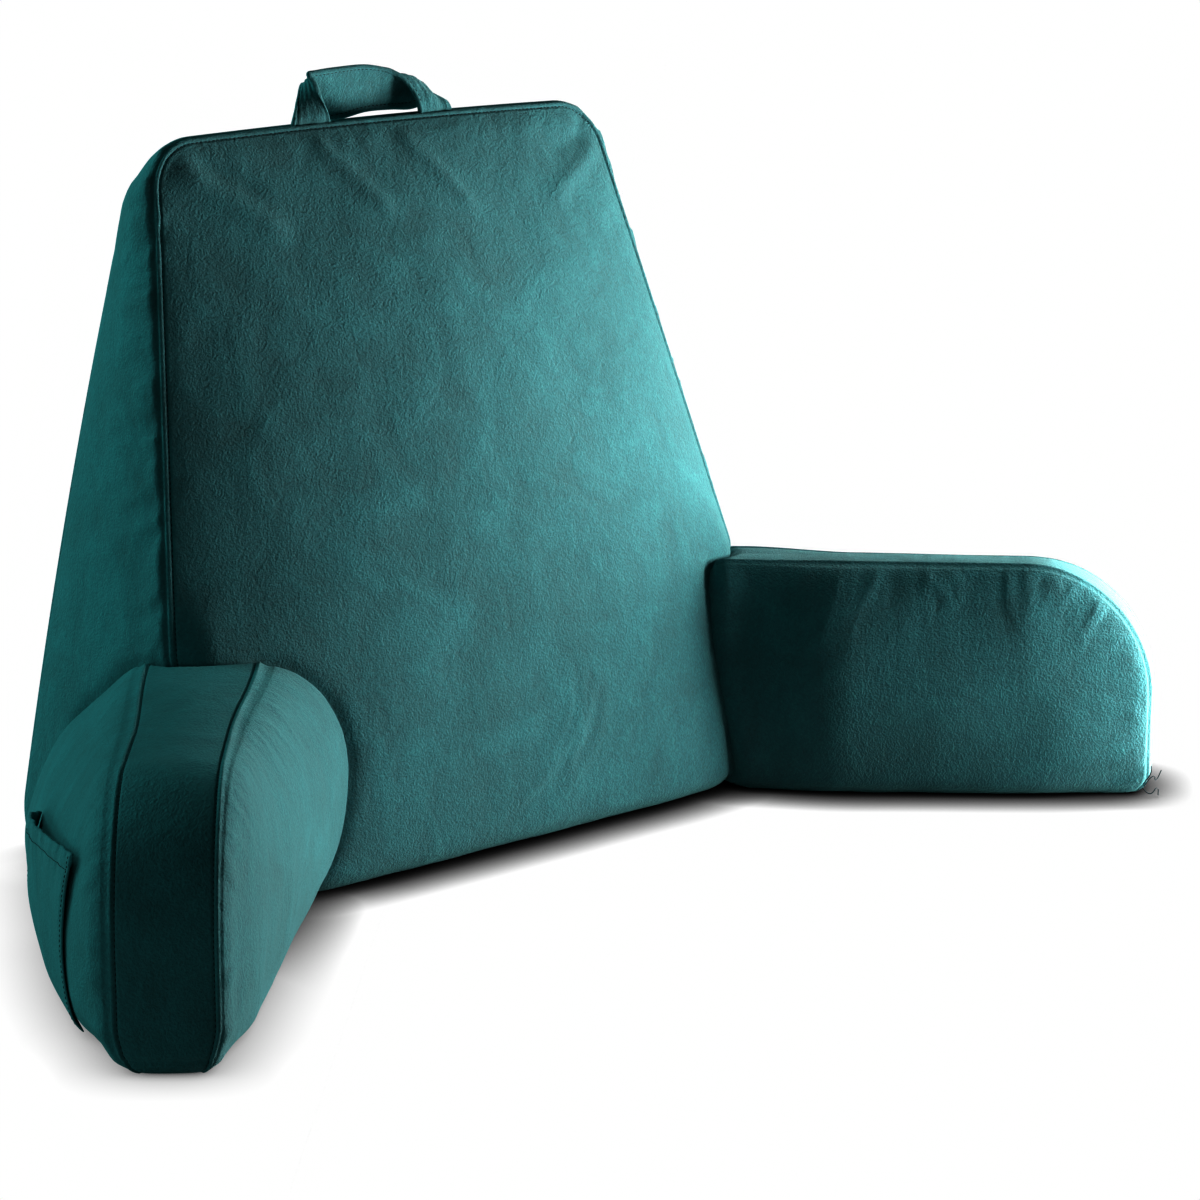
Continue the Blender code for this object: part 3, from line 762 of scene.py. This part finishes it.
# Patches where the pile lies another way, strokes of a hand over it, its tufts and the pile
# itself: noise scale, detail, roughness and distortion, share in the tone, and the bump's
# strength and height.
VELVET_LAYERS = (
    ("patches", (13.0, 4.0, 0.58, 1.2), 1.0, 0.3, 0.006),
    ("strokes", (52.0, 5.0, 0.66, 0.8), 0.4, 0.26, 0.0022),
    ("tufts", (210.0, 3.0, 0.7), 0.22, 0.5, 0.0016),
    ("pile", (520.0, 2.0, 0.6), 0.34, 0.75, 0.0012),
)
STROKES_TURNED = (0.0, 0.5, 0.3)
STROKES_STRETCHED = (1.0, 1.0, 0.42)


def bump(tree, height, strength, distance, normal):
    node = add_node(tree, "ShaderNodeBump", {"Strength": strength, "Distance": distance})
    tree.links.new(height, node.inputs["Height"])
    if normal is not None:
        tree.links.new(normal, node.inputs["Normal"])
    return node.outputs["Normal"]


def velvet():
    """Short-pile velvet: brushed patches, a fine pebbled pile and a pale sheen."""
    material, tree, shader = new_material("velvet")
    place = tree.nodes.new("ShaderNodeTexCoord").outputs["Object"]
    turned = {"Rotation": STROKES_TURNED, "Scale": STROKES_STRETCHED}
    stretch = add_node(tree, "ShaderNodeMapping", turned)
    tree.links.new(place, stretch.inputs["Vector"])
    tone = normal = None
    roughness = add_node(tree, "ShaderNodeMapRange", {"To Min": 0.72, "To Max": 0.95})
    for name, sizes, share, strength, distance in VELVET_LAYERS:
        brushed = stretch.outputs["Vector"] if name == "strokes" else place
        layer = noise_node(tree, brushed, *sizes)
        tone = layer if tone is None else mixed(tree, tone, layer, share)
        normal = bump(tree, layer, strength, distance, normal)
        if name == "strokes":
            tree.links.new(layer, roughness.inputs["Value"])
    link(tree, colours_of(tree, tone, VELVET_COLOURS), "Color", shader, "Base Color")
    link(tree, roughness, "Result", shader, "Roughness")
    tree.links.new(normal, shader.inputs["Normal"])
    set_inputs(shader, VELVET_SHEEN)
    return material


def thread_material():
    material, tree, shader = new_material("thread")
    place = tree.nodes.new("ShaderNodeTexCoord").outputs["Object"]
    twist = noise_node(tree, place, 900.0, 2.0, 0.5)
    link(tree, colours_of(tree, twist, THREAD_COLOURS), "Color", shader, "Base Color")
    set_inputs(shader, {"Roughness": 0.55, "Specular IOR Level": 0.3})
    return material


# ---- Stitches ----

STITCH_PITCH = 0.0042
STITCH_LENGTH = 0.0031
STITCH_RADIUS = 0.00036
STITCH_BOW = 0.0004
STITCH_SUNK = 0.0002
STITCH_SIDES = 6
STITCH_RINGS = 5
STITCHES_OFF_BACK = 0.004


def resampled(line, outward, pitch):
    """Points at an even pitch along a line, with the ways along it and out of the cloth."""
    lengths = np.linalg.norm(np.diff(line, axis=0), axis=1)
    reach = np.concatenate([[0.0], np.cumsum(lengths)])
    at = np.arange(pitch / 2.0, reach[-1], pitch)

    def values(numbers, places):
        return np.stack([np.interp(places, reach, numbers[:, axis]) for axis in range(3)], 1)

    ways = unit(values(line, at + 0.001) - values(line, at - 0.001))
    return values(line, at), ways, values(outward, at)


def stitch_row(line, outward):
    """Points and faces of a row of stitches along a line, each bowed over the cloth."""
    points, faces = [], []
    for centre, way, out in zip(*resampled(line, outward, STITCH_PITCH)):
        out = unit(out - way * out.dot(way))
        across = np.cross(way, out)
        first = len(points)
        for share in np.linspace(-1.0, 1.0, STITCH_RINGS):
            radius = STITCH_RADIUS * (1.0 - 0.75 * abs(share) ** 3)
            lift = STITCH_BOW * (1.0 - share**2) - STITCH_SUNK
            spine = centre + way * share * STITCH_LENGTH / 2.0 + out * lift
            for angle in 2.0 * math.pi * np.arange(STITCH_SIDES) / STITCH_SIDES:
                points.append(spine + radius * (across * math.cos(angle) + out * math.sin(angle)))
        corners = range(STITCH_SIDES)
        for ring in range(first, len(points) - STITCH_SIDES, STITCH_SIDES):
            for corner in corners:
                a, b = ring + corner, ring + (corner + 1) % STITCH_SIDES
                faces.append([a, b, b + STITCH_SIDES, a + STITCH_SIDES])
        faces.append([first + corner for corner in reversed(corners)])
        faces.append([len(points) - STITCH_SIDES + corner for corner in corners])
    return points, faces


def add_stitches(name, rows, thread):
    """One piece for several rows of stitches, each a line and its outward ways."""
    points, faces = [], []
    for line, outward in rows:
        new_points, new_faces = stitch_row(line, outward)
        faces += [[corner + len(points) for corner in face] for face in new_faces]
        points += new_points
    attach(new_mesh(name, points, faces, thread), "root")


# ---- Handle ----

# One row for each place along the strap: x, y and z of its front hem, then of its rear hem, and
# how far its middle stands above the line between them.
HANDLE_ROWS = (
    (-0.054, 0.036, 0.592, -0.102, 0.036, 0.592, 0.000),
    (-0.056, 0.036, 0.610, -0.094, 0.038, 0.611, 0.000),
    (-0.061, 0.037, 0.624, -0.080, 0.050, 0.625, 0.002),
    (-0.068, 0.039, 0.639, -0.064, 0.062, 0.636, 0.003),
    (-0.073, 0.042, 0.648, -0.050, 0.070, 0.622, 0.003),
    (-0.062, 0.043, 0.650, -0.036, 0.069, 0.605, 0.002),
    (-0.040, 0.044, 0.651, -0.0233, 0.062, 0.605, 0.002),
    (-0.011, 0.045, 0.651, 0.001, 0.060, 0.6092, 0.002),
    (0.010, 0.044, 0.647, 0.0275, 0.060, 0.6092, 0.004),
    (0.021, 0.042, 0.641, 0.051, 0.062, 0.6075, 0.009),
    (0.029, 0.040, 0.634, 0.064, 0.056, 0.611, 0.012),
    (0.036, 0.038, 0.625, 0.071, 0.047, 0.613, 0.008),
    (0.040, 0.036, 0.613, 0.078, 0.039, 0.610, 0.003),
    (0.042, 0.036, 0.592, 0.082, 0.036, 0.592, 0.000),
)
STRAP_THICKNESS = 0.0036
STRAP_HEM = 0.005
STRAP_WIDTH = 0.045
STRAP_STEPS = (104, 30)
STRAP_ROUNDED = 0.0022
# Steps along the strap where its stitches show; the rest is sewn into the seam.
STRAP_STITCHES_SHOW = slice(14, -10)


def smooth_row(rows, place):
    """A row between the table's rows, on a smooth curve through them."""
    first = min(int(place), len(rows) - 2)
    part = place - first
    near = [np.array(rows[min(max(first + n, 0), len(rows) - 1)]) for n in (-1, 0, 1, 2)]
    slope_0 = (near[2] - near[0]) / 2.0
    slope_1 = (near[3] - near[1]) / 2.0
    cubic = 2.0 * part**3 - 3.0 * part**2 + 1.0
    return (
        cubic * near[1]
        + (part**3 - 2.0 * part**2 + part) * slope_0
        + (1.0 - cubic) * near[2]
        + (part**3 - part**2) * slope_1
    )


def sheet_between(upper, lower):
    """A closed sheet from two grids of points, one for each face."""
    rows, columns = upper.shape[:2]
    places, faces, _ = box_grid((rows - 1, 1, columns - 1))
    both = np.stack([upper, lower])
    return both[places[:, 1], places[:, 0], places[:, 2]], faces


def sheet_normals(grid):
    along = np.gradient(grid, axis=0)
    across = np.gradient(grid, axis=1)
    return unit(np.cross(across, along))


def handle_sheet():
    """The strap's two faces, the normals of its middle surface for the stitches, and the
    distances to its edges.
    """
    steps_along, steps_across = STRAP_STEPS
    shares = np.linspace(0.0, 1.0, steps_across + 1)
    grid = np.empty((steps_along + 1, steps_across + 1, 3))
    for n in range(steps_along + 1):
        row = smooth_row(HANDLE_ROWS, n * (len(HANDLE_ROWS) - 1) / steps_along)
        front, rear, bow = row[:3], row[3:6], row[6]
        grid[n] = front * (1.0 - shares)[:, None] + rear * shares[:, None]
        grid[n, :, 2] += bow * 4.0 * shares * (1.0 - shares)
    normal = sheet_normals(grid)
    along, across = np.meshgrid(np.arange(steps_along + 1) / steps_along, shares, indexing="ij")
    edge = np.minimum(across, 1.0 - across) * STRAP_WIDTH
    # Lengthwise pleats where the strap is bent sharply.
    pleats = field(across * 6.5, along * 5.0, 71)
    ripple = field(across * 3.0, along * 22.0, 72)
    bent = bell(along - 0.8, 0.15) + 0.7 * bell(along - 0.27, 0.12) + 0.25
    wave = (pleats * 0.0021 * bent + ripple * 0.0006) * smooth(edge / 0.004)
    half = STRAP_THICKNESS / 2.0 * hem_profile(edge, STRAP_ROUNDED, 0.8)
    half = half + 0.0005 * bell(edge - 0.0026, 0.0016) - 0.0011 * bell(edge - STRAP_HEM, 0.0009)
    middle = grid + normal * wave[..., None]
    upper = middle + normal * half[..., None]
    lower = middle - normal * half[..., None]
    return lower, upper, normal, edge


# ---- Side pocket, on the left arm's outer panel ----

POCKET_THICKNESS = 0.002
POCKET_SEAT = 0.0008
POCKET_REAR = 0.085
POCKET_FRONT = 0.314
POCKET_FRONT_LEAN = 0.024
POCKET_FOOT = 0.008
POCKET_REAR_MOUTH = 0.106
POCKET_FRONT_MOUTH = 0.15
POCKET_GAPE = 0.012
POCKET_HEM = 0.012
POCKET_CRUSHED_FROM = 0.45
POCKET_CRUSHED_HEIGHT = 0.0012
POCKET_EDGE_STITCH = 0.003
POCKET_STEPS = (120, 72)
POCKET_ROUNDED = 0.0015


def outer_panel(s, z):
    """The outer panel's smooth surface at a distance along the arm and a height."""
    radius = ARM_END_RADIUS
    length = ARM_LENGTH + ARM_LEFT_LONGER
    start = -ARM_OUTER_DEPTH_IN_BACK
    top = ARM_ROOT_HEIGHT + ARM_RISE * np.clip(s, 0.0, length - radius)
    to_seam = np.where(z > top - radius, top - z, radius)
    crown = outer_crown(s, z, top, to_seam, length, start)
    across = BAND_HALF_WIDTH + crown - rounded_in(z, ARM_OUTER_ROLL_UNDER)
    return np.stack([s, across, z], -1)


def pocket_sheet():
    """The pocket's two faces, its outward normals and the distances to its edges."""
    lines = [np.linspace(0.0, 1.0, count + 1) for count in POCKET_STEPS]
    along, share = np.meshgrid(*lines, indexing="ij")
    front = POCKET_FRONT + POCKET_FRONT_LEAN * share**2
    s = POCKET_REAR + (front - POCKET_REAR) * along
    mouth = POCKET_REAR_MOUTH + (POCKET_FRONT_MOUTH - POCKET_REAR_MOUTH) * along
    z = POCKET_FOOT + (mouth - POCKET_FOOT) * share
    panel = outer_panel(s, z)
    normal = sheet_normals(panel)
    gape = POCKET_GAPE * np.maximum(np.sin(math.pi * along**0.6), 0.0) ** 0.8 * share**2.2
    height = mouth - POCKET_FOOT
    edge_s = np.minimum(along, 1.0 - along) * (POCKET_FRONT - POCKET_REAR)
    edge_z = share * height
    from_mouth = (1.0 - share) * height
    edge = np.minimum(edge_s, edge_z)
    # Gathers under the hem, which the stitches pull together, and slack folds lower down.
    gathers = field(along * 15.0, share * 2.0, 81)
    folds = field(along * 4.5 + share, share * 1.6, 82)
    free = smooth(edge_s / 0.01) * smooth(edge_z / 0.012)
    wave = gathers * 0.0026 * np.exp(-from_mouth / 0.022) + folds * 0.0024 * smooth(share * 1.6)
    # The worn hem towards the front corner, crushed into small puffs.
    worn = smooth((along - POCKET_CRUSHED_FROM) / 0.25)
    worn = worn * np.exp(-np.minimum(from_mouth, edge_s) / 0.012)
    crushed = puffs(along * 46.0, share * 27.0, 83, 1.0)
    wave = wave + POCKET_CRUSHED_HEIGHT * crushed * worn * smooth((share - 0.45) / 0.3)
    lift = POCKET_SEAT + POCKET_THICKNESS / 2.0 + gape + np.maximum(wave, -0.6 * gape) * free
    middle = panel + normal * lift[..., None]
    world = arm_world(-1, middle.reshape(-1, 3)).reshape(middle.shape)
    # The left arm is the mirrored one, so its normals turn round.
    out = -sheet_normals(world)
    rim = np.minimum(edge, from_mouth)
    half = POCKET_THICKNESS / 2.0 * hem_profile(rim, POCKET_ROUNDED, 0.75)
    hem = smooth((POCKET_HEM + 0.001 - from_mouth) / 0.0015)
    half = half + 0.0005 * hem - 0.0008 * bell(from_mouth - POCKET_HEM, 0.0008)
    half = half - 0.0006 * bell(edge - POCKET_EDGE_STITCH, 0.0008) * (1.0 - hem)
    upper = world + out * half[..., None]
    lower = world - out * (half * 0.8)[..., None]
    return lower, upper, out, edge, from_mouth


# ---- Rows of stitches ----


def back_stitch_rows(points, faces, spots):
    """Along the front panel's side and top seams, and the rear panel's."""
    normals = normals_of(points, faces)
    index, at_x, at_z = spots["index"], spots["groove_x"], spots["groove_z"]
    last_x = index.shape[0] - 1 - at_x
    rows = []
    for deep in (0, -1):
        left = index[last_x, deep, :at_z + 1]
        top = index[last_x:at_x + 1, deep, at_z]
        right = index[at_x, deep, :at_z + 1][::-1]
        numbers = np.concatenate([left, top[1:-1], right])
        rows.append((points[numbers], normals[numbers]))
    return rows


def arm_stitch_rows(points, faces, spots, from_back):
    """Along both edges of the arm's band, from the back cushion over the end to the floor."""
    normals = normals_of(points, faces)
    index, rows = spots["index"], []
    for groove in spots["grooves"]:
        numbers = np.concatenate([index[:, groove, -1], index[-1, groove, ::-1][1:]])
        numbers = numbers[from_back[numbers] > STITCHES_OFF_BACK]
        rows.append((points[numbers], normals[numbers]))
    return rows


def strap_stitch_rows(lower, upper, out, edge):
    """Along both hems of the strap, on both its faces."""
    hem_at = nearest(edge[0, :edge.shape[1] // 2 + 1], STRAP_HEM)
    rows = []
    for column in (hem_at, edge.shape[1] - 1 - hem_at):
        place = (STRAP_STITCHES_SHOW, column)
        rows += [(upper[place], out[place]), (lower[place], -out[place])]
    return rows


def pocket_stitch_rows(upper, out, edge, from_mouth):
    """Along the pocket's hem, and down its sides and along its foot."""
    half_way, half_up = edge.shape[0] // 2, edge.shape[1] // 2
    hem_at = nearest(from_mouth[half_way], POCKET_HEM)
    side_at = nearest(edge[:half_way, half_up], POCKET_EDGE_STITCH)
    foot_at = nearest(edge[half_way], POCKET_EDGE_STITCH)
    last_side = edge.shape[0] - 1 - side_at
    places = (
        (slice(2, -2), hem_at),
        (side_at, slice(foot_at, -1)),
        (slice(side_at, last_side), foot_at),
        (last_side, slice(foot_at, -1)),
    )
    return [(upper[place], out[place]) for place in places]


# Loose ends of thread where the band of the right arm is closed, seen from the front.
LOOSE_THREADS = (
    ((0.508, -0.400, 0.010), (0.515, -0.405, 0.019), (0.521, -0.403, 0.014),
     (0.527, -0.404, 0.022)),
    ((0.506, -0.400, 0.009), (0.510, -0.406, 0.004), (0.517, -0.408, 0.008),
     (0.520, -0.407, 0.001)),
    ((0.507, -0.400, 0.012), (0.511, -0.405, 0.022), (0.508, -0.408, 0.030)),
)
LOOSE_THREAD_RADIUS = 0.0004


def add_loose_threads(thread):
    curve = bpy.data.curves.new("loose_threads", "CURVE")
    curve.dimensions = "3D"
    curve.bevel_depth = LOOSE_THREAD_RADIUS
    curve.bevel_resolution = 2
    curve.use_fill_caps = True
    for places in LOOSE_THREADS:
        line = curve.splines.new("BEZIER")
        line.bezier_points.add(len(places) - 1)
        for knot, place in zip(line.bezier_points, places):
            knot.co = place
            knot.handle_left_type = knot.handle_right_type = "AUTO"
    curve.materials.append(thread)
    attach(add_object("loose_threads", curve), "root")


# ---- Stage, light and camera ----

CAMERA_PLACE = Vector((-2.083, -2.545, 0.988))
CAMERA_YAW = 0.735
CAMERA_PITCH = -0.238
CAMERA_LENS = 116.85
FLOOR_HALF_WIDTH = 20.0
FLOOR_Z = -0.0006
# The floor's shadow is painted: ambient occlusion within this reach, raised to this power,
# darkens the floor's white emission.
FLOOR_SHADOW_REACH = 0.042
FLOOR_SHADOW_POWER = 1.9
# The photo's floor is white round the viewer's left arm, so between these x the dark fades to
# this share.
FLOOR_SHADOW_FADES_OVER = (-0.36, -0.14)
FLOOR_SHADOW_LEAST = 0.22
FLOOR_GREY = (0.4, 0.4, 0.4)
LIGHT_TARGET = (0.0, -0.12, 0.22)
# Reddish from the right and cool from the left.
WARM = (1.0, 0.7, 0.7)
COOL = (0.62, 1.0, 1.0)
# One row for each light: its name, place, width, power and colour.
LIGHTS = (
    ("along_arm", (0.92, -0.745, 0.17), 0.70, 52.0, WARM),
    ("front_right", (1.99, -1.26, 0.25), 0.7, 4.0, WARM),
    ("right", (1.30, -0.50, 0.30), 0.5, 3.0, WARM),
    ("rear_right", (1.00, 0.80, 0.80), 0.5, 14.0, WARM),
    ("rear_left", (-1.34, 1.48, 1.09), 0.7, 14.0, COOL),
    ("rear_left_high", (-0.74, 1.16, 1.88), 0.7, 12.0, COOL),
    ("left", (-2.29, 0.20, 0.36), 0.7, 6.0, COOL),
    ("front_left", (-1.90, -1.60, 0.30), 0.5, 4.0, COOL),
)
AMBIENT = 0.01
CONTRAST_GAMMA = 0.58


def camera_sees(tree, seen, other, surface):
    """One shader straight to the camera, and another wherever else light meets it."""
    ray = tree.nodes.new("ShaderNodeLightPath")
    either = tree.nodes.new("ShaderNodeMixShader")
    link(tree, ray, "Is Camera Ray", either, "Fac")
    tree.links.new(other, either.inputs[1])
    tree.links.new(seen, either.inputs[2])
    link(tree, either, "Shader", tree.nodes[surface], "Surface")


def floor_material():
    """White to the camera apart from a painted shadow, from ambient occlusion, where the pillow
    stands on it.
    """
    material, tree, shader = new_material("floor")
    set_inputs(shader, {"Base Color": (*FLOOR_GREY, 1.0), "Roughness": 0.9})
    occlusion = add_node(tree, "ShaderNodeAmbientOcclusion", {"Distance": FLOOR_SHADOW_REACH})
    occlusion.samples = 24
    place = tree.nodes.new("ShaderNodeNewGeometry")
    axes = tree.nodes.new("ShaderNodeSeparateXYZ")
    link(tree, place, "Position", axes, "Vector")
    fade_from, fade_to = FLOOR_SHADOW_FADES_OVER
    strength = add_node(tree, "ShaderNodeMapRange", {
        "From Min": fade_from,
        "From Max": fade_to,
        "To Min": FLOOR_SHADOW_LEAST * FLOOR_SHADOW_POWER,
        "To Max": FLOOR_SHADOW_POWER,
    })
    link(tree, axes, "X", strength, "Value")
    power = tree.nodes.new("ShaderNodeMath")
    power.operation = "POWER"
    link(tree, occlusion, "AO", power, 0)
    link(tree, strength, "Result", power, 1)
    # Painted shadow: the camera sees this emission, darkened by the ambient occlusion.
    white = tree.nodes.new("ShaderNodeEmission")
    link(tree, power, "Value", white, "Color")
    camera_sees(tree, white.outputs[0], shader.outputs[0], "Material Output")
    return material


def add_floor():
    far = FLOOR_HALF_WIDTH
    corners = [(x * far, y * far, FLOOR_Z) for x, y in ((-1, -1), (1, -1), (1, 1), (-1, 1))]
    new_mesh("floor", corners, [[0, 1, 2, 3]], floor_material())


def add_light(name, place, width, power, colour):
    data = bpy.data.lights.new(name, "AREA")
    data.shape = "RECTANGLE"
    data.size = data.size_y = width
    data.energy = power
    data.color = colour
    lamp = add_object(name, data)
    lamp.location = place
    way = Vector(LIGHT_TARGET) - Vector(place)
    lamp.rotation_euler = way.to_track_quat("-Z", "Y").to_euler()
    lamp.visible_camera = False


def add_camera():
    data = bpy.data.cameras.new("camera")
    data.sensor_width = 36.0
    data.lens = CAMERA_LENS
    data.clip_end = 100.0
    camera = add_object("camera", data)
    turn = Euler((math.pi / 2.0 + CAMERA_PITCH, 0.0, -CAMERA_YAW)).to_matrix()
    camera.matrix_world = Matrix.Translation(CAMERA_PLACE) @ turn.to_4x4()
    bpy.context.scene.camera = camera


def add_world():
    """White where the camera sees it, and a dim even light for everything else."""
    world = bpy.data.worlds.new("studio")
    world.use_nodes = True
    tree = world.node_tree
    white = (1.0, 1.0, 1.0, 1.0)
    dim = tree.nodes["Background"]
    set_inputs(dim, {"Color": white, "Strength": AMBIENT})
    bright = add_node(tree, "ShaderNodeBackground", {"Color": white})
    camera_sees(tree, bright.outputs[0], dim.outputs[0], "World Output")
    bpy.context.scene.world = world


# ---- Building the pillow ----


def add_cloth(name, solid, points, faces, material):
    """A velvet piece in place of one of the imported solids."""
    piece = new_mesh(name, points, faces, material)
    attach(piece, "root")
    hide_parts(solid)
    return piece


cloth = velvet()
thread = thread_material()

back_points, back_faces, back_spots = back_form()
back_rise = back_relief(back_points, back_spots)
back_tree = tree_of(back_points, back_faces)

arms = {}
for solid, side in (("arm_left", -1), ("arm_right", 1)):
    local, faces, spots = arm_form(side)
    points = arm_world(side, local)
    rise = arm_relief(side, points, local, spots)
    from_back = off_surface(back_tree, points)
    radius = np.where(spots["on_band"], JUNCTION_RADIUS_BAND, JUNCTION_RADIUS_ARM)
    rise = rise * smooth((from_back + 0.002) / 0.01) - rounded_in(from_back, radius)
    arms[solid] = (raised(points, faces, rise), faces, spots, from_back)
    from_arm = off_surface(tree_of(points, faces), back_points)
    drawn_in = rounded_in(from_arm, JUNCTION_RADIUS_BACK) / JUNCTION_RADIUS_BACK
    back_rise -= JUNCTION_DEPTH_BACK * drawn_in

back_final = raised(back_points, back_faces, back_rise)
back = add_cloth("back_cushion_cloth", "back_cushion", back_final, back_faces, cloth)

for solid, arm in arms.items():
    piece = add_cloth(solid + "_cloth", solid, *arm[:2], cloth)

strap_lower, strap_upper, strap_out, strap_edge = handle_sheet()
handle = add_cloth("handle_strap", "handle", *sheet_between(strap_lower, strap_upper), cloth)

lower, upper, pocket_out, pocket_edge, pocket_from_mouth = pocket_sheet()
pocket = add_cloth("pocket_cloth", "side_pocket", *sheet_between(lower, upper), cloth)

add_stitches("back_stitches", back_stitch_rows(back_final, back_faces, back_spots), thread)
for solid, arm in arms.items():
    add_stitches(solid + "_stitches", arm_stitch_rows(*arm), thread)
add_loose_threads(thread)
rows = strap_stitch_rows(strap_lower, strap_upper, strap_out, strap_edge)
add_stitches("handle_stitches", rows, thread)
rows = pocket_stitch_rows(upper, pocket_out, pocket_edge, pocket_from_mouth)
add_stitches("pocket_stitches", rows, thread)

add_floor()
add_world()
for light in LIGHTS:
    add_light(*light)
add_camera()
bpy.context.scene.view_settings.view_transform = "Standard"
bpy.context.scene.view_settings.gamma = CONTRAST_GAMMA
